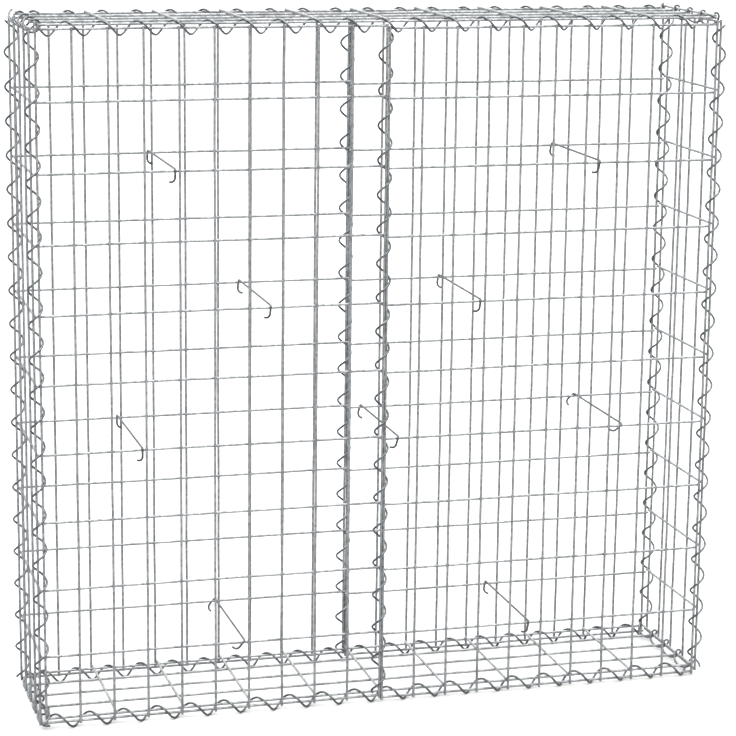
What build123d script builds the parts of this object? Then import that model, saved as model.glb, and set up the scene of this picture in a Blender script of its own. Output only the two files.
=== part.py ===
"""Empty gabion basket: welded mesh panels laced together with spiral binders and braced by tie hooks.

Millimetres.  X runs along the front, Y from the front to the back, Z up.  The origin is on the
ground under the middle of the basket, which stands on the bottom turns of its lowest spirals.
"""

from build123d import *
from math import cos, hypot, radians, sin, sqrt
import os

# Basket and mesh
half_panel = 500.0  # one half of the front or back, between its edge wires
height = 1000.0  # bottom rail to top rail
depth = 200.0  # floor, lid and end panels, between their edge wires
bay = 50.0  # spacing of the upright wires, and of the long wires in floor and lid
course = 100.0  # spacing of the rails, and of the cross wires in floor and lid

# Welded wire
wire = 3.5
weld = 0.5  # how far two wires sink into each other where they cross
tail = 3.0  # how far a wire runs past the last one that it is welded to

# Joints
clearance = 0.3
pair = 5.0  # the two edge wires at the middle joint, centre to centre
lid_rise = 6.0  # long wires of floor and lid above the end rails of the panels

# Spiral binders
spiral_wire = 3.0
spiral_bore = 16.5
spiral_end = 15.0  # how far the level spirals stop short of the edge they lace
upright_foot = 12.0  # upright spirals start this far above the bottom rail
upright_head = 18.0  # and stop this far below the top rail

# Tie hooks
tie_wire = 3.0
tie_leg = 19.0  # drop from the shank to the tip
tie_tip = 9.0
tie_turn = 45.0  # degrees between the tip and the shank, seen along the leg

# Where the layers lie
layer = wire - weld  # centre to centre of two wires welded across each other
wire_end = tail + clearance + wire / 2  # from an edge wire to the next wire that its tails must miss
face_y = depth / 2 + wire_end  # uprights of front and back
rail_y = face_y - layer  # their rails, on the inner side
edge_x = half_panel + pair / 2  # outermost uprights of front and back
end_x = edge_x + wire_end + layer  # uprights of the ends
end_rail_x = end_x - layer  # their rails
half_length = half_panel  # floor and lid, middle to edge wire
drop = wire + clearance  # the right half panels hang lower, so that rail ends pass at the middle
coil_radius = (spiral_bore + spiral_wire) / 2
seat = spiral_bore / 2 - clearance - wire / 2  # from a spiral's axis to a wire that its bore rests on


def along(seated, other):
    """Spiral axis on the line from the wire it is seated on to the other wire that it laces."""
    gap = hypot(other[0] - seated[0], other[1] - seated[1])
    return tuple(s + (o - s) * seat / gap for s, o in zip(seated, other))


def astride(low, high):
    """Spiral axis with both wires seated, on the side that lies inside the basket and low."""
    half_gap = hypot(high[0] - low[0], high[1] - low[1]) / 2
    reach = sqrt(seat**2 - half_gap**2) / (2 * half_gap)
    across, up = high[0] - low[0], high[1] - low[1]
    return (low[0] + high[0]) / 2 + up * reach, (low[1] + high[1]) / 2 - across * reach


# Spiral axes, measured inwards from the panel's rail and up from its bottom or top rail
face_in, face_up = astride((0.0, -drop), (rail_y - depth / 2, lid_rise))
end_in, end_up = astride((0.0, 0.0), (end_rail_x - half_length, lid_rise + layer))

bottom = coil_radius + spiral_wire / 2 - face_up  # bottom rails, when the lowest turns touch the ground
top = bottom + height


def spread(start, length, spacing):
    """Even places from start over length, as near to the spacing as a whole number allows."""
    count = round(length / spacing)
    return [start + length * i / count for i in range(count + 1)]


def save(built, label):
    built.part.label = label
    export_step(built.part, f"parts/{label}.step")


def mesh_panel(label, *layers):
    """A panel of straight wires.  Each layer is the plane its wires start on, their places and length."""
    with BuildPart() as panel:
        for plane, places, length in layers:
            with BuildSketch(plane):
                with Locations(*places):
                    RegularPolygon(wire / 2, 8, major_radius=False, rotation=22.5)
            extrude(amount=length)
    save(panel, label)


def spiral(label, start, end, crest, crest_at, pitch):
    """A right-handed binder between two points of its axis.

    One turn reaches furthest towards crest at the distance crest_at from the start.
    """
    axis = Vector(end) - Vector(start)
    outwards = Vector(crest).rotate(Axis((0, 0, 0), axis), -360 * crest_at / pitch)
    foot = Plane(origin=start, x_dir=outwards, z_dir=axis)
    turns = Helix(pitch, axis.length, coil_radius, mode=Mode.PRIVATE)
    with BuildPart() as coil:
        with BuildLine() as path:
            add(turns.moved(foot.location))
        with BuildSketch(Plane(origin=path.line @ 0, x_dir=foot.x_dir, z_dir=path.line % 0)):
            RegularPolygon(spiral_wire / 2, 6)
        sweep(path=path.line, is_frenet=True)
    save(coil, label)


def tie_hook(label, x, rail_z, lean):
    """A straight shank over the front and back rails, with both ends bent down and turned back.

    It swings about its shank: lean turns the legs towards -X.  The front tip is turned from
    inwards towards the left end, and the back tip as much towards the right.
    """
    bend = tie_wire / 2 + clearance + wire / 2  # the bends run concentric with the rails
    leg_y = rail_y + bend
    angle, turn = radians(lean), radians(tie_turn)
    swung = Plane(origin=(x, 0, rail_z + bend), x_dir=(0, 1, 0), z_dir=(cos(angle), 0, -sin(angle)))
    tip_y, aside = leg_y - tie_tip * cos(turn), tie_tip * sin(turn)
    with BuildPart() as hook:
        with BuildLine(swung) as path:
            FilletPolyline(
                (-tip_y, -tie_leg, -aside),
                (-leg_y, -tie_leg),
                (-leg_y, 0),
                (leg_y, 0),
                (leg_y, -tie_leg),
                (tip_y, -tie_leg, aside),
                radius=bend,
            )
        with BuildSketch(Plane(origin=path.line @ 0, z_dir=path.line % 0)):
            Circle(tie_wire / 2)
        sweep(path=path.line)
    save(hook, label)

os.makedirs("parts", exist_ok=True)

# Front and back: two half panels each, uprights outside, rails inside
halves = {"left": (-edge_x, bottom), "right": (edge_x - half_panel, bottom - drop)}
for face, side in (("front", -1), ("back", 1)):
    for half, (left, low) in halves.items():
        uprights = [(x, side * face_y) for x in spread(left, half_panel, bay)]
        rails = [(side * rail_y, z) for z in spread(low, height, course)]
        mesh_panel(
            f"{face}_{half}_panel",
            (Plane.XY.offset(low - tail), uprights, height + 2 * tail),
            (Plane.YZ.offset(left - tail), rails, half_panel + 2 * tail),
        )

# Ends: one panel each
for end, side in (("left", -1), ("right", 1)):
    uprights = [(side * end_x, y) for y in spread(-depth / 2, depth, bay)]
    rails = [(z, side * end_rail_x) for z in spread(bottom, height, course)]
    mesh_panel(
        f"{end}_end_panel",
        (Plane.XY.offset(bottom - tail), uprights, height + 2 * tail),
        (Plane.ZX.offset(-depth / 2 - tail), rails, depth + 2 * tail),
    )

# Floor and lid: long wires below, cross wires on top of them
for flat, rail_z in (("floor", bottom), ("lid", top)):
    long_z = rail_z + lid_rise
    long_wires = [(y, long_z) for y in spread(-depth / 2, depth, bay)]
    cross_wires = [(long_z + layer, x) for x in spread(-half_length, 2 * half_length, course)]
    mesh_panel(
        f"{flat}_panel",
        (Plane.YZ.offset(-half_length - tail), long_wires, 2 * (half_length + tail)),
        (Plane.ZX.offset(-depth / 2 - tail), cross_wires, depth + 2 * tail),
    )

# Spirals.  Each makes one turn in every bay, or two in every course, and its crest lies at a
# share of that pitch which takes every turn through the middle of the open mesh.
bay_pitch = half_panel / round(half_panel / bay)
end_pitch = depth / round(depth / bay)
course_pitch = height / round(height / course) / 2

level_x = half_length + tail - spiral_end
for label, side, rail_z, crest in (
    ("floor_front_spiral", -1, bottom, 0.34),
    ("floor_back_spiral", 1, bottom, 0.62),
    ("lid_front_spiral", -1, top, 0.32),
    ("lid_back_spiral", 1, top, 0.64),
):
    y, z = side * (rail_y - face_in), rail_z + face_up
    crest_at = level_x - edge_x + crest * bay_pitch
    spiral(label, (-level_x, y, z), (level_x, y, z), (0, 0, 1), crest_at, bay_pitch)

level_y = depth / 2 + tail - spiral_end
for label, side, rail_z, crest in (
    ("floor_left_spiral", -1, bottom, 0.58),
    ("floor_right_spiral", 1, bottom, 0.02),
    ("lid_left_spiral", -1, top, 0.06),
    ("lid_right_spiral", 1, top, 0.04),
):
    x, z = side * (end_rail_x - end_in), rail_z + end_up
    crest_at = level_y - depth / 2 + crest * end_pitch
    spiral(label, (x, -level_y, z), (x, level_y, z), (0, 0, 1), crest_at, end_pitch)

low_z, high_z = bottom + upright_foot, top - upright_head
for face, side, crests in (("front", -1, (0.28, 0.71, 0.10)), ("back", 1, (0.54, 0.70, 0.80))):
    joints = (
        ("left", along((-edge_x, side * face_y), (-end_x, side * depth / 2))),
        ("centre", along((pair / 2, side * face_y), (-pair / 2, side * face_y))),
        ("right", along((edge_x, side * face_y), (end_x, side * depth / 2))),
    )
    for (corner, (x, y)), crest in zip(joints, crests):
        crest_at = crest * course_pitch - upright_foot
        spiral(f"{face}_{corner}_spiral", (x, y, low_z), (x, y, high_z), (1, 0, 0), crest_at, course_pitch)

# Tie hooks: half panel, bay in it, place in that bay, course and lean of each
ties = (
    ("left", 3, 0.88, 8, 3),
    ("left", 6, 0.64, 6, 6),
    ("left", 2, 0.88, 4, 0),
    ("left", 5, 0.88, 1, 40),
    ("right", 0, 0.40, 4, 15),
    ("right", 2, 0.86, 6, 8),
    ("right", 6, 0.45, 8, 10),
    ("right", 7, 0.42, 4, 48),
    ("right", 4, 0.60, 1, 8),
)
for number, (half, bays, share, courses, lean) in enumerate(ties, start=1):
    left, low = halves[half]
    rail_z = spread(low, height, course)[courses]
    tie_hook(f"tie_hook_{number}", left + (bays + share) * bay_pitch, rail_z, lean)
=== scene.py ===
"""The finish of an empty gabion basket: galvanised mesh panels, spiral binders and tie hooks.

Metres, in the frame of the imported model: X along the front, Y to the back, Z up from the ground.
"""

import math

import bpy
from mathutils import Matrix, Vector


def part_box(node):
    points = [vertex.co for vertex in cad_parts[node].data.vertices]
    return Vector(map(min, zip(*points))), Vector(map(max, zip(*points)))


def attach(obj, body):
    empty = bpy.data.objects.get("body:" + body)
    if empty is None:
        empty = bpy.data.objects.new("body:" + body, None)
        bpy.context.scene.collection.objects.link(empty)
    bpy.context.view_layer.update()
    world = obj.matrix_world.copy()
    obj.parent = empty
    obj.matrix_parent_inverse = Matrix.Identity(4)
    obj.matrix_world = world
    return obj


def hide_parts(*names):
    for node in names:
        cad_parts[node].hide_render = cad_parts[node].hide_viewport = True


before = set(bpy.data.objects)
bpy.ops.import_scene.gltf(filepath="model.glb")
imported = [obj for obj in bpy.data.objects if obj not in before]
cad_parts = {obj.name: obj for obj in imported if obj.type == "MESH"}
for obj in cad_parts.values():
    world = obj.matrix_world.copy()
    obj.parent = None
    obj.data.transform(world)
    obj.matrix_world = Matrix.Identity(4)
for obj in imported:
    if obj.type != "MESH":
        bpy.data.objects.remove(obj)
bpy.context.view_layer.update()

MM = 0.001

# Welded mesh
WIRE = 3.5 * MM
COATED_WIRE = 3.8 * MM  # round, and as wide as the solids' eight-sided wire is over its corners
TAIL = 3.0 * MM
BAY = 50.0 * MM
COURSE = 100.0 * MM
JOINT_DRAW = 0.5 * MM  # how far the middle spirals pull each half panel's edge wire inwards

# Spiral binders: each makes one turn in a bay, or two in a course
SPIRAL_WIRE = 3.0 * MM
COATED_SPIRAL_WIRE = 3.3 * MM  # bears on the wires that it laces
SPIRAL_BORE = 16.5 * MM
COIL = (SPIRAL_BORE + SPIRAL_WIRE) / 2
SPIRAL_END = 3.0 * MM  # from the panels' outermost wire ends
SPIRAL_FOOT = 3.0 * MM  # from the bottom rail
SPIRAL_HEAD = 4.0 * MM  # from the top rail

# Tie hooks
TIE_WIRE = 3.0 * MM
COATED_TIE_WIRE = 3.3 * MM
TIE_LEG = 19.0 * MM
TIE_TIP = 9.0 * MM
TIE_TURN = math.radians(45)
TIE_CLEARANCE = 0.3 * MM
TIE_BEND = TIE_WIRE / 2 + TIE_CLEARANCE + WIRE / 2  # over the rail
TIE_CURL = 7.0 * MM  # at the foot, where the wire was cut and curled

# Texture of the zinc
PATCH = 28.0 * MM  # length of the dull patches
LUMP = 2.2 * MM  # between the lumps of the coat
LUMP_HEIGHT = 0.12 * MM
CRYSTAL_SHARE, PATCH_SHARE = 0.45, 0.55  # what each adds to the shade
ALL_DARK, ALL_LIGHT = 0.22, 0.78  # the shades at which the darkest and lightest zinc are reached
DULLER, GLOSSIER = 0.14, 0.08  # how far the roughness strays from that of the finish

# How finely the wires are drawn
WIRE_SIDES = 12
TIE_SIDES = 14
BAR_POINTS = 61
POINTS_A_TURN = 28
BEND_POINTS = 8
SWAY_LENGTH = 140.0 * MM  # how far apart a bar's gentle bends are
SWAY = 0.45  # and how wide, as a share of its wire

X, Y, Z = (Vector(axis) for axis in ((1, 0, 0), (0, 1, 0), (0, 0, 1)))


# ---------------------------------------------------------------- node helpers


def linear(hex_colour):
    """An sRGB hex colour as the linear colour that a shader takes."""
    channels = [int(hex_colour[i : i + 2], 16) / 255 for i in (1, 3, 5)]
    return [c / 12.92 if c <= 0.04045 else ((c + 0.055) / 1.055) ** 2.4 for c in channels] + [1.0]


def add_node(tree, kind, inputs=None, **settings):
    """A node with its settings.  An input that is a socket is linked, and any other is a value."""
    node = tree.nodes.new(kind)
    for name, value in settings.items():
        setattr(node, name, value)
    for name, value in (inputs or {}).items():
        if isinstance(value, bpy.types.NodeSocket):
            tree.links.new(value, node.inputs[name])
        else:
            node.inputs[name].default_value = value
    return node


def new_tree(name, sockets):
    """A geometry tree with named inputs, which are its sizes, and its group input node."""
    tree = bpy.data.node_groups.new(name, "GeometryNodeTree")
    for label, kind in sockets:
        tree.interface.new_socket(label, in_out="INPUT", socket_type=kind)
    tree.interface.new_socket("Geometry", in_out="OUTPUT", socket_type="NodeSocketGeometry")
    return tree, add_node(tree, "NodeGroupInput")


def finish_tree(tree, geometry, material):
    """Ends a tree: its instances become real, and the parts without a finish get one."""
    real = add_node(tree, "GeometryNodeRealizeInstances", {0: geometry})
    painted = add_node(tree, "GeometryNodeSetMaterial", {0: real.outputs[0], "Material": material})
    add_node(tree, "NodeGroupOutput", {0: painted.outputs[0]})


def vector_math(tree, operation, first, second):
    return add_node(tree, "ShaderNodeVectorMath", {0: first, 1: second}, operation=operation).outputs[0]


def maths(tree, operation, first, second=0.0):
    return add_node(tree, "ShaderNodeMath", {0: first, 1: second}, operation=operation).outputs[0]


def scaled(tree, vector, factor):
    node = add_node(tree, "ShaderNodeVectorMath", {0: vector, "Scale": factor}, operation="SCALE")
    return node.outputs[0]


def centre(node):
    low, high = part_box(node)
    return (low + high) / 2


def make_piece(name, tree, sizes, node):
    """A plain mesh made by a tree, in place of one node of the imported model."""
    maker = bpy.data.objects.new(name + "_maker", bpy.data.meshes.new(name + "_maker"))
    bpy.context.scene.collection.objects.link(maker)
    modifier = maker.modifiers.new("nodes", "NODES")
    modifier.node_group = tree
    identifiers = {
        item.name: item.identifier
        for item in tree.interface.items_tree
        if item.item_type == "SOCKET" and item.in_out == "INPUT"
    }
    for label, value in sizes.items():
        modifier[identifiers[label]] = tuple(value) if isinstance(value, Vector) else value
    evaluated = maker.evaluated_get(bpy.context.evaluated_depsgraph_get())
    mesh = bpy.data.meshes.new_from_object(evaluated)
    bpy.data.objects.remove(maker)
    mesh.name = name
    piece = bpy.data.objects.new(name, mesh)
    bpy.context.scene.collection.objects.link(piece)
    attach(piece, "root")
    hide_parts(node)


# ---------------------------------------------------------------- finishes


def zinc(name, light, dark, roughness, spangle, lumpiness):
    """Zinc on drawn steel wire: a satin metal in two greys, cloudy along the wire.

    Hot-dipping leaves crystals a few millimetres across, which reflect a little differently, and
    a surface that is faintly lumpy.  Weathered zinc has dull patches a few centimetres long.
    """
    material = bpy.data.materials.new(name)
    material.use_nodes = True
    tree = material.node_tree
    shader = tree.nodes["Principled BSDF"]
    place = add_node(tree, "ShaderNodeTexCoord").outputs["Object"]

    crystals = add_node(
        tree, "ShaderNodeTexVoronoi", {"Vector": place, "Scale": 1 / spangle, "Randomness": 1.0}
    )
    patches = add_node(
        tree,
        "ShaderNodeTexNoise",
        {"Vector": place, "Scale": 1 / PATCH, "Detail": 4.0, "Roughness": 0.6},
    )
    crystal = add_node(tree, "ShaderNodeSeparateColor", {"Color": crystals.outputs["Color"]})
    shade = maths(
        tree,
        "ADD",
        maths(tree, "MULTIPLY", crystal.outputs["Red"], CRYSTAL_SHARE),
        maths(tree, "MULTIPLY", patches.outputs["Fac"], PATCH_SHARE),
    )
    colour = add_node(tree, "ShaderNodeValToRGB", {"Fac": shade})
    stops = zip(colour.color_ramp.elements, (ALL_DARK, ALL_LIGHT), (dark, light))
    for stop, position, tone in stops:
        stop.position = position
        stop.color = linear(tone)
    tree.links.new(colour.outputs["Color"], shader.inputs["Base Color"])

    # The dark crystals and patches are duller too.
    dull, bright = roughness + DULLER, roughness - GLOSSIER
    gloss = add_node(
        tree,
        "ShaderNodeMapRange",
        {"Value": shade, "From Min": 0.2, "From Max": 0.8, "To Min": dull, "To Max": bright},
    )
    tree.links.new(gloss.outputs["Result"], shader.inputs["Roughness"])

    lumps = add_node(
        tree,
        "ShaderNodeTexNoise",
        {"Vector": place, "Scale": 1 / LUMP, "Detail": 3.0, "Roughness": 0.55},
    )
    bump = add_node(
        tree,
        "ShaderNodeBump",
        {"Height": lumps.outputs["Fac"], "Strength": lumpiness, "Distance": LUMP_HEIGHT},
    )
    tree.links.new(bump.outputs["Normal"], shader.inputs["Normal"])
    shader.inputs["Metallic"].default_value = 1.0
    return material


# Hot-dip galvanised mesh wire: mid grey, with a soft broad sheen.
mesh_zinc = zinc("galvanised_mesh_wire", "#adafb0", "#858788", 0.55, 4.5 * MM, 0.35)
# The zinc burns off where two wires are welded, which leaves a matt darker grey.
weld_zinc = zinc("weld_spots", "#8e8f90", "#66686a", 0.55, 1.6 * MM, 0.8)
# Spring wire is coated more thinly, and looks darker and a little glossier.
spiral_zinc = zinc("galvanised_spring_wire", "#7e8183", "#4b4e50", 0.22, 3.0 * MM, 0.3)
# Tie wire: soft annealed wire with the dullest coat.
tie_zinc = zinc("galvanised_tie_wire", "#6e7072", "#4b4e50", 0.36, 3.5 * MM, 0.4)


def round_wire(tree, path, wire, sides):
    """Smooth round wire of a diameter along a path, closed at its cut ends."""
    section = add_node(
        tree,
        "GeometryNodeCurvePrimitiveCircle",
        {"Resolution": sides, "Radius": maths(tree, "DIVIDE", wire, 2.0)},
    )
    solid = add_node(
        tree,
        "GeometryNodeCurveToMesh",
        {"Curve": path, "Profile Curve": section.outputs[0], "Fill Caps": True},
    )
    return add_node(tree, "GeometryNodeSetShadeSmooth", {0: solid.outputs[0]}).outputs[0]


# ---------------------------------------------------------------- welded mesh panels


def bar_row(tree, start, step, count, run, wire, seed):
    """Round bars side by side.  Each sways from its line by a small part of its diameter."""
    places = add_node(
        tree,
        "GeometryNodeMeshLine",
        {"Count": count, "Start Location": start, "Offset": step},
        mode="OFFSET",
    )
    bar = add_node(tree, "GeometryNodeCurvePrimitiveLine", {"Start": (0, 0, 0), "End": run})
    fine = add_node(
        tree, "GeometryNodeResampleCurve", {"Curve": bar.outputs[0], "Count": BAR_POINTS}, mode="COUNT"
    )
    row = add_node(
        tree, "GeometryNodeInstanceOnPoints", {"Points": places.outputs[0], "Instance": fine.outputs[0]}
    )
    real = add_node(tree, "GeometryNodeRealizeInstances", {0: row.outputs[0]})
    place = add_node(tree, "GeometryNodeInputPosition").outputs[0]
    drift = add_node(
        tree,
        "ShaderNodeTexNoise",
        {"Vector": place, "W": seed, "Scale": 1 / SWAY_LENGTH, "Detail": 1.0},
        noise_dimensions="4D",
    )
    centred = vector_math(tree, "SUBTRACT", drift.outputs["Color"], (0.5, 0.5, 0.5))
    offset = scaled(tree, centred, maths(tree, "MULTIPLY", wire, SWAY))
    swaying = add_node(
        tree, "GeometryNodeSetPosition", {"Geometry": real.outputs[0], "Offset": offset}
    )
    return round_wire(tree, swaying.outputs[0], wire, WIRE_SIDES)


def weld_spots(tree, start, step_a, count_a, step_b, count_b, wire, material):
    """A flattened bead at every crossing, between the two layers of bars."""
    line = add_node(
        tree,
        "GeometryNodeMeshLine",
        {"Count": count_a, "Start Location": start, "Offset": step_a},
        mode="OFFSET",
    )
    other = add_node(tree, "GeometryNodeMeshLine", {"Count": count_b, "Offset": step_b}, mode="OFFSET")
    grid = add_node(
        tree, "GeometryNodeInstanceOnPoints", {"Points": line.outputs[0], "Instance": other.outputs[0]}
    )
    crossings = add_node(tree, "GeometryNodeRealizeInstances", {0: grid.outputs[0]})
    bead = add_node(
        tree,
        "GeometryNodeMeshUVSphere",
        {"Segments": 12, "Rings": 6, "Radius": maths(tree, "MULTIPLY", wire, 0.5)},
    )
    facing = add_node(
        tree,
        "FunctionNodeAlignRotationToVector",
        {"Vector": vector_math(tree, "CROSS_PRODUCT", step_a, step_b)},
        axis="Z",
    )
    smallest, largest = (1.0, 1.0, 0.34), (1.22, 1.22, 0.46)
    size = add_node(
        tree,
        "FunctionNodeRandomValue",
        {0: smallest, 1: largest, "Seed": 7},
        data_type="FLOAT_VECTOR",
    )
    beads = add_node(
        tree,
        "GeometryNodeInstanceOnPoints",
        {
            "Points": crossings.outputs[0],
            "Instance": bead.outputs[0],
            "Rotation": facing.outputs[0],
            "Scale": size.outputs[0],
        },
    )
    smooth = add_node(tree, "GeometryNodeSetShadeSmooth", {0: beads.outputs[0]})
    coated = add_node(tree, "GeometryNodeSetMaterial", {0: smooth.outputs[0], "Material": material})
    return coated.outputs[0]


def panel_tree():
    """Two layers of bars, welded across each other, and their weld spots."""
    vector, whole, size = "NodeSocketVector", "NodeSocketInt", "NodeSocketFloat"
    tree, given = new_tree(
        "welded_mesh_panel",
        [
            ("First upright", vector),
            ("Upright step", vector),
            ("Uprights", whole),
            ("Upright run", vector),
            ("First rail", vector),
            ("Rail step", vector),
            ("Rails", whole),
            ("Rail run", vector),
            ("First weld", vector),
            ("Wire", size),
            ("Seed", size),
        ],
    )
    out = given.outputs
    bars = add_node(tree, "GeometryNodeJoinGeometry")
    for bar in ("upright", "rail"):
        labels = f"First {bar}", f"{bar.title()} step", f"{bar.title()}s", f"{bar.title()} run"
        row = bar_row(tree, *(out[label] for label in labels), out["Wire"], out["Seed"])
        tree.links.new(row, bars.inputs[0])
    coated = add_node(tree, "GeometryNodeSetMaterial", {0: bars.outputs[0], "Material": mesh_zinc})
    beads = weld_spots(
        tree,
        out["First weld"],
        out["Upright step"],
        out["Uprights"],
        out["Rail step"],
        out["Rails"],
        out["Wire"],
        weld_zinc,
    )
    panel = add_node(tree, "GeometryNodeJoinGeometry")
    for part in (coated.outputs[0], beads):
        tree.links.new(part, panel.inputs[0])
    real = add_node(tree, "GeometryNodeRealizeInstances", {0: panel.outputs[0]})
    add_node(tree, "NodeGroupOutput", {0: real.outputs[0]})
    return tree


def mesh_panel(tree, node, spaced, run, outer, seed, drawn=0.0):
    """A welded panel in the box of its node.

    Its close-set wires are spaced along one axis and run along another, and lie on the side of
    the panel that outer points to.  The wires across them are a course apart.  A spiral has drawn
    the last close-set wire (or the first, when drawn is negative) a little past its place.
    """
    low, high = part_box(node)
    across, along = (axis.dot(high - low) - 2 * TAIL for axis in (spaced, run))
    bays, courses = round(across / BAY), round(along / COURSE)
    layer = abs(outer.dot(high - low)) / 2 - WIRE / 2
    corner = centre(node) - spaced * across / 2 - run * along / 2
    first = corner + spaced * min(drawn, 0.0)
    step = spaced * (across + abs(drawn)) / bays
    make_piece(
        node + "_wires",
        tree,
        {
            "First upright": first + outer * layer - run * TAIL,
            "Upright step": step,
            "Uprights": bays + 1,
            "Upright run": run * (along + 2 * TAIL),
            "First rail": corner - outer * layer - spaced * TAIL,
            "Rail step": run * along / courses,
            "Rails": courses + 1,
            "Rail run": spaced * (across + 2 * TAIL),
            "First weld": first,
            "Wire": COATED_WIRE,
            "Seed": seed,
        },
        node,
    )


# ---------------------------------------------------------------- spiral binders


def spiral_tree():
    """A coil about the line from Start to End.

    At the distance "Crest at" from the start, a turn reaches furthest towards Crest.
    """
    vector, size = "NodeSocketVector", "NodeSocketFloat"
    tree, given = new_tree(
        "spiral_binder",
        [
            ("Start", vector),
            ("End", vector),
            ("Crest", vector),
            ("Crest at", size),
            ("Pitch", size),
            ("Coil", size),
            ("Wire", size),
            ("Steps", "NodeSocketInt"),
        ],
    )
    out = given.outputs
    line = add_node(
        tree, "GeometryNodeCurvePrimitiveLine", {"Start": out["Start"], "End": out["End"]}
    )
    fine = add_node(
        tree,
        "GeometryNodeResampleCurve",
        {"Curve": line.outputs[0], "Count": out["Steps"]},
        mode="COUNT",
    )
    run = add_node(tree, "GeometryNodeSplineParameter").outputs["Length"]
    turned = maths(
        tree,
        "MULTIPLY",
        maths(tree, "DIVIDE", maths(tree, "SUBTRACT", run, out["Crest at"]), out["Pitch"]),
        math.tau,
    )
    axis = add_node(
        tree,
        "ShaderNodeVectorMath",
        {0: vector_math(tree, "SUBTRACT", out["End"], out["Start"])},
        operation="NORMALIZE",
    ).outputs[0]
    side = vector_math(tree, "CROSS_PRODUCT", axis, out["Crest"])
    outwards = vector_math(
        tree,
        "ADD",
        scaled(tree, out["Crest"], maths(tree, "COSINE", turned)),
        scaled(tree, side, maths(tree, "SINE", turned)),
    )
    offset = scaled(tree, outwards, out["Coil"])
    coil = add_node(
        tree, "GeometryNodeSetPosition", {"Geometry": fine.outputs[0], "Offset": offset}
    )
    finish_tree(tree, round_wire(tree, coil.outputs[0], out["Wire"], WIRE_SIDES), spiral_zinc)
    return tree


def spiral(tree, node, start, end, crest, crest_at, pitch):
    """A right-handed binder in place of its node, between two points of its axis."""
    turns = (end - start).length / pitch
    make_piece(
        node + "_coil",
        tree,
        {
            "Start": start,
            "End": end,
            "Crest": crest,
            "Crest at": crest_at,
            "Pitch": pitch,
            "Coil": COIL,
            "Wire": COATED_SPIRAL_WIRE,
            "Steps": round(POINTS_A_TURN * turns) + 1,
        },
        node,
    )


# ---------------------------------------------------------------- tie hooks


def by_number(tree, kind, choices):
    """One of several values for each point of a path, by its number."""
    number = add_node(tree, "GeometryNodeInputIndex").outputs[0]
    chosen = add_node(tree, "GeometryNodeIndexSwitch", {"Index": number}, data_type=kind)
    while len(chosen.index_switch_items) < len(choices):
        chosen.index_switch_items.new()
    for place, choice in enumerate(choices):
        tree.links.new(choice, chosen.inputs[place + 1])
    return chosen.outputs[0]


def hook_tree():
    """A shank between two hooked ends.  Tip is the way from the front leg's foot to its tip."""
    vector, size = "NodeSocketVector", "NodeSocketFloat"
    tree, given = new_tree(
        "tie_hook",
        [
            ("Middle", vector),
            ("Half", vector),
            ("Leg", vector),
            ("Tip", vector),
            ("Bend", size),
            ("Curl", size),
            ("Wire", size),
        ],
    )
    out = given.outputs
    front = vector_math(tree, "SUBTRACT", out["Middle"], out["Half"])
    back = vector_math(tree, "ADD", out["Middle"], out["Half"])
    front_foot = vector_math(tree, "ADD", front, out["Leg"])
    back_foot = vector_math(tree, "ADD", back, out["Leg"])
    corners = [
        vector_math(tree, "ADD", front_foot, out["Tip"]),
        front_foot,
        front,
        back,
        back_foot,
        vector_math(tree, "SUBTRACT", back_foot, out["Tip"]),
    ]
    line = add_node(tree, "GeometryNodeMeshLine", {"Count": len(corners)}, mode="OFFSET")
    path = add_node(tree, "GeometryNodeMeshToCurve", {0: line.outputs[0]})
    bent = add_node(
        tree,
        "GeometryNodeSetPosition",
        {"Geometry": path.outputs[0], "Position": by_number(tree, "VECTOR", corners)},
    )
    bends = [out[label] for label in ("Curl", "Curl", "Bend", "Bend", "Curl", "Curl")]
    rounded = add_node(
        tree,
        "GeometryNodeFilletCurve",
        {"Curve": bent.outputs[0], "Count": BEND_POINTS, "Radius": by_number(tree, "FLOAT", bends)},
        mode="POLY",
    )
    finish_tree(tree, round_wire(tree, rounded.outputs[0], out["Wire"], TIE_SIDES), tie_zinc)
    return tree


def tie_hook(tree, node, shank_x, lean):
    """A hook at the height of its node.  Its legs lean to the left, and its tips turn aside."""
    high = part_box(node)[1]
    down = X * -math.sin(lean) + Z * -math.cos(lean)
    left = X * -math.cos(lean) + Z * math.sin(lean)
    make_piece(
        node + "_wire",
        tree,
        {
            "Middle": Vector((shank_x, 0, high.z - TIE_WIRE / 2)),
            "Half": Y * (high.y - TIE_WIRE / 2),
            "Leg": TIE_LEG * down,
            "Tip": TIE_TIP * (math.cos(TIE_TURN) * Y + math.sin(TIE_TURN) * left),
            "Bend": TIE_BEND,
            "Curl": TIE_CURL,
            "Wire": COATED_TIE_WIRE,
        },
        node,
    )


# ---------------------------------------------------------------- basket

panels = panel_tree()
for face, side in (("front", -1), ("back", 1)):
    for half, seed, drawn in (("left", 1.0, JOINT_DRAW), ("right", 2.0, -JOINT_DRAW)):
        mesh_panel(panels, f"{face}_{half}_panel", X, Z, Y * side, seed + side, drawn)
for end, side in (("left", -1), ("right", 1)):
    mesh_panel(panels, f"{end}_end_panel", Y, Z, X * side, 5.0 + side)
for flat, seed in (("floor", 9.0), ("lid", 10.0)):
    mesh_panel(panels, f"{flat}_panel", Y, X, -Z, seed)

# Each crest lies at a share of its turn, as the binders were wound on.
coils = spiral_tree()
end_low, end_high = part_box("right_end_panel")
floor_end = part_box("floor_panel")[1].x
edge_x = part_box("front_right_panel")[1].x - TAIL
edge_y = end_high.y - TAIL

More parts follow.
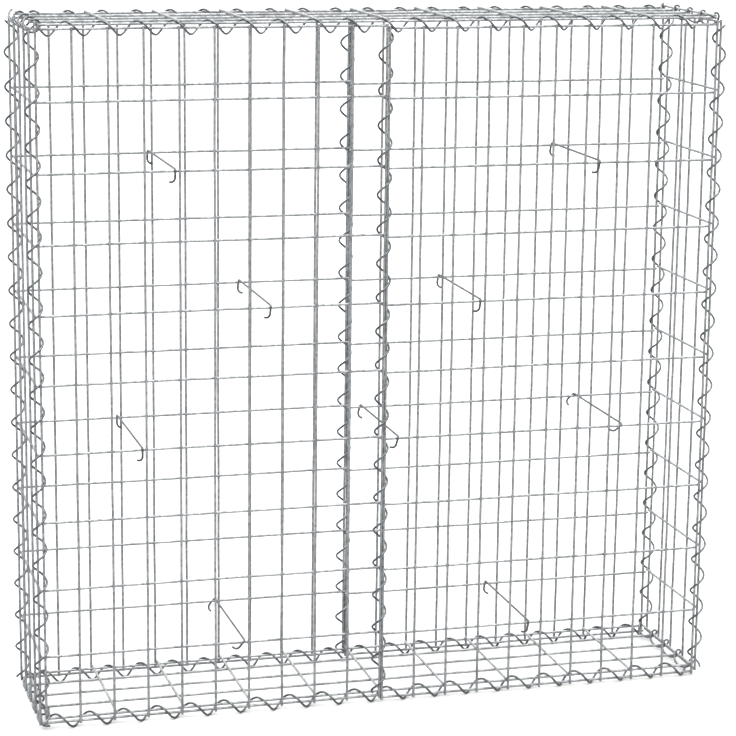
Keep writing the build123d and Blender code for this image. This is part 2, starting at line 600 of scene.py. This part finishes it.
for name, crest in (
    ("floor_front_spiral", 0.34),
    ("floor_back_spiral", 0.56),
    ("lid_front_spiral", 0.88),
    ("lid_back_spiral", 0.56),
):
    middle = centre(name)
    level = floor_end - SPIRAL_END
    start, end = Vector((-level, middle.y, middle.z)), Vector((level, middle.y, middle.z))
    spiral(coils, name, start, end, Z, level - edge_x + crest * BAY, BAY)

for name, crest in (
    ("floor_left_spiral", 0.58),
    ("floor_right_spiral", 0.02),
    ("lid_left_spiral", 0.06),
    ("lid_right_spiral", 0.04),
):
    middle = centre(name)
    level = end_high.y - SPIRAL_END
    start, end = Vector((middle.x, -level, middle.z)), Vector((middle.x, level, middle.z))
    spiral(coils, name, start, end, Z, level - edge_y + crest * BAY, BAY)

bottom, top = end_low.z + TAIL, end_high.z - TAIL
for name, crest in (
    ("front_left_spiral", 0.28),
    ("front_centre_spiral", 0.71),
    ("front_right_spiral", 0.10),
    ("back_left_spiral", 0.54),
    ("back_centre_spiral", 0.70),
    ("back_right_spiral", 0.80),
):
    middle = centre(name)
    start = Vector((middle.x, middle.y, bottom + SPIRAL_FOOT))
    end = Vector((middle.x, middle.y, top - SPIRAL_HEAD))
    spiral(coils, name, start, end, X, crest * COURSE / 2 - SPIRAL_FOOT, COURSE / 2)

# Tie hooks: half panel, place along it in bays, and lean in degrees
hooks = hook_tree()
first_upright = {half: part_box(f"front_{half}_panel")[0].x + TAIL for half in ("left", "right")}
ties = (
    ("left", 3.88, 3),
    ("left", 6.64, 6),
    ("left", 2.88, 0),
    ("left", 5.88, 40),
    ("right", 0.40, 15),
    ("right", 2.86, 8),
    ("right", 6.45, 10),
    ("right", 7.42, 48),
    ("right", 4.60, 8),
)
for number, (half, bays, lean) in enumerate(ties, start=1):
    tie_hook(hooks, f"tie_hook_{number}", first_upright[half] + bays * BAY, math.radians(lean))


# ---------------------------------------------------------------- studio

FLOOR_REACH = 40.0
FLOOR_SEEN, FLOOR_MIRRORED = "#cbcbca", "#a4a6a8"

LAMP_STRENGTH = 0.9
LAMP_SPREAD = math.radians(70)
LAMP_TILT = math.radians(18), math.radians(-14), 0

# The tent's light, which grows as a direction points further up, or further to the back
DIM, OVERHEAD_GLOW, BACKDROP_GLOW = 0.12, 3.2, 0.7
OVERHEAD_RISE = 0.0, 0.8
BACKDROP_RISE = 0.3, 0.95

# Eye-level view from the front, a little to the left and looking slightly down
CAMERA_PLACE = -0.9886, -3.5331, 1.2967
HEADING, DIP, ROLL = math.radians(15.70), math.radians(12.37), math.radians(0.66)
LENS, SENSOR = 122.47, 36.0  # in millimetres
FURTHEST_SEEN = 200.0


def studio_floor():
    """A plain floor that fills every view: pale to look at, and darker where wires mirror it."""
    mesh = bpy.data.meshes.new("studio_floor")
    half = FLOOR_REACH
    corners = [(-half, -half, 0), (half, -half, 0), (half, half, 0), (-half, half, 0)]
    mesh.from_pydata(corners, [], [(0, 1, 2, 3)])
    floor = bpy.data.objects.new("studio_floor", mesh)
    bpy.context.scene.collection.objects.link(floor)
    paint = bpy.data.materials.new("pale_floor")
    paint.use_nodes = True
    shader = paint.node_tree.nodes["Principled BSDF"]
    seen = add_node(paint.node_tree, "ShaderNodeLightPath").outputs["Is Camera Ray"]
    # Inputs 6 and 7 of the node, and output 2, are its colours.
    tones = {"Factor": seen, 6: linear(FLOOR_MIRRORED), 7: linear(FLOOR_SEEN)}
    tone = add_node(paint.node_tree, "ShaderNodeMix", tones, data_type="RGBA").outputs[2]
    paint.node_tree.links.new(tone, shader.inputs["Base Color"])
    shader.inputs["Roughness"].default_value = 0.9
    mesh.materials.append(paint)


def overhead_lamp():
    """A broad soft lamp from above."""
    light = bpy.data.lights.new("overhead_light", "SUN")
    light.energy = LAMP_STRENGTH
    light.angle = LAMP_SPREAD
    lamp = bpy.data.objects.new("overhead_light", light)
    lamp.rotation_euler = LAMP_TILT
    bpy.context.scene.collection.objects.link(lamp)


def growing_light(tree, reach, rise, dim, glow):
    """Light that grows smoothly from dim to glow over a rise of the reach."""
    node = add_node(
        tree,
        "ShaderNodeMapRange",
        {"Value": reach, "From Min": rise[0], "From Max": rise[1], "To Min": dim, "To Max": glow},
        interpolation_type="SMOOTHSTEP",
    )
    return node.outputs["Result"]


def studio_tent():
    """A tent of light about the basket.

    It is dim at eye level and bright overhead, so that rails shine and uprights stay grey.  Its
    back wall glows, which lights the cross wires, and to the eye all of it is white.
    """
    world = bpy.data.worlds.new("studio_tent")
    world.use_nodes = True
    tent = world.node_tree
    direction = add_node(tent, "ShaderNodeTexCoord").outputs["Generated"]
    facing = add_node(tent, "ShaderNodeSeparateXYZ", {"Vector": direction}).outputs
    overhead = growing_light(tent, facing["Z"], OVERHEAD_RISE, DIM, OVERHEAD_GLOW)
    backdrop = growing_light(tent, facing["Y"], BACKDROP_RISE, 0.0, BACKDROP_GLOW)
    seen = add_node(tent, "ShaderNodeLightPath").outputs["Is Camera Ray"]
    glow = maths(tent, "MAXIMUM", maths(tent, "ADD", overhead, backdrop), seen)
    tent.links.new(glow, tent.nodes["Background"].inputs["Strength"])
    tent.nodes["Background"].inputs["Color"].default_value = linear("#ffffff")
    bpy.context.scene.world = world


def camera_view():
    camera = bpy.data.cameras.new("camera")
    camera.sensor_width = SENSOR
    camera.lens = LENS
    camera.clip_end = FURTHEST_SEEN
    view = bpy.data.objects.new("camera", camera)
    aim = (
        Matrix.Rotation(-HEADING, 3, "Z")
        @ Matrix.Rotation(math.pi / 2 - DIP, 3, "X")
        @ Matrix.Rotation(ROLL, 3, "Z")
    )
    view.rotation_euler = aim.to_euler()
    view.location = CAMERA_PLACE
    bpy.context.scene.collection.objects.link(view)
    bpy.context.scene.camera = view


studio_floor()
overhead_lamp()
studio_tent()
camera_view()
bpy.context.scene.view_settings.view_transform = "Standard"
